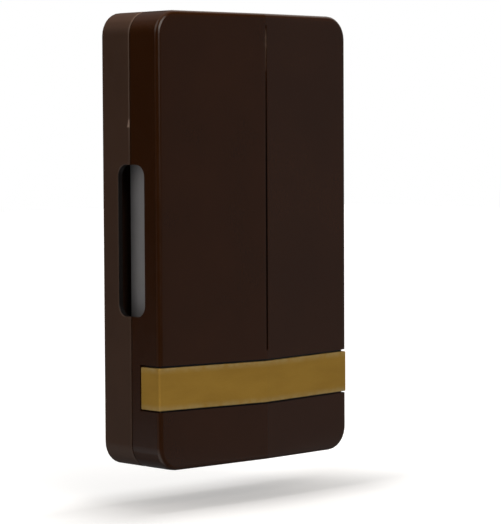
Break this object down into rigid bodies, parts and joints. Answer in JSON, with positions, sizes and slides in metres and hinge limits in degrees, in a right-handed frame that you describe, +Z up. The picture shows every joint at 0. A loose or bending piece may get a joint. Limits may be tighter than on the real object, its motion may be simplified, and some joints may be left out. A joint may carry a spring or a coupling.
{
  "type": "door chime",
  "caption": "Shallow wall-mounted doorbell chime: moulded back box, push-fit ridged cover with a gilt band, side sound slots, and a sprung solenoid plunger between tone bars.",
  "frame": {"origin": "centre of the back face, which lies against the wall", "axes": "+X to the right seen from the front, +Y into the wall, +Z up; the front faces -Y"},
  "size_m": [0.11, 0.0369, 0.19],
  "materials": {
    "chocolate_plastic": "moulded gloss",
    "gilt_plastic": "satin gilt coating",
    "tone_steel": "brushed",
    "zinc_steel": "zinc plated",
    "spring_steel": "drawn wire",
    "white_nylon": "moulded satin",
    "black_rubber": "matte",
    "copper_wire": "enamelled copper",
    "coil_tape": "polyester tape",
    "terminal_plastic": "moulded satin",
    "brass": "machined",
    "lead_insulation": "soft vinyl"
  },
  "bodies": {
    "wall_box": {"back_box": "chocolate_plastic", "long_tone_bar": "tone_steel", "short_tone_bar": "tone_steel", "bar_bracket_long_upper": "white_nylon", "bar_bracket_long_lower": "white_nylon", "bar_bracket_short_upper": "white_nylon", "bar_bracket_short_lower": "white_nylon", "bar_grommet_long_upper": "black_rubber", "bar_grommet_long_lower": "black_rubber", "bar_grommet_short_upper": "black_rubber", "bar_grommet_short_lower": "black_rubber", "bracket_screws": "zinc_steel", "yoke_frame": "zinc_steel", "yoke_screws": "zinc_steel", "coil_bobbin": "white_nylon", "coil_winding": "copper_wire", "coil_tape": "coil_tape", "return_spring": "spring_steel", "terminal_block": "terminal_plastic", "terminal_clamps": "brass", "terminal_screws": "zinc_steel", "terminal_fixing_screw": "zinc_steel", "coil_lead_left": "lead_insulation", "coil_lead_right": "lead_insulation", "cable_grommet": "black_rubber"},
    "plunger": {"plunger_rod": "zinc_steel", "striker_tip_left": "white_nylon", "striker_tip_right": "white_nylon", "spring_clip": "spring_steel"},
    "cover": {"front_cover": "chocolate_plastic", "trim_band": "gilt_plastic", "band_push_nuts": "spring_steel"}
  },
  "joints": [
    {"name": "plunger_stroke", "type": "slide", "parent": "wall_box", "child": "plunger", "axis": [1, 0, 0], "range_m": [-0.0029, 0.0059], "stiffness_N_per_m": 120, "deforming": ["return_spring"]},
    {"name": "cover_pull_off", "type": "slide", "parent": "wall_box", "child": "cover", "axis": [0, -1, 0], "range_m": [0, 0.06]}
  ]
}
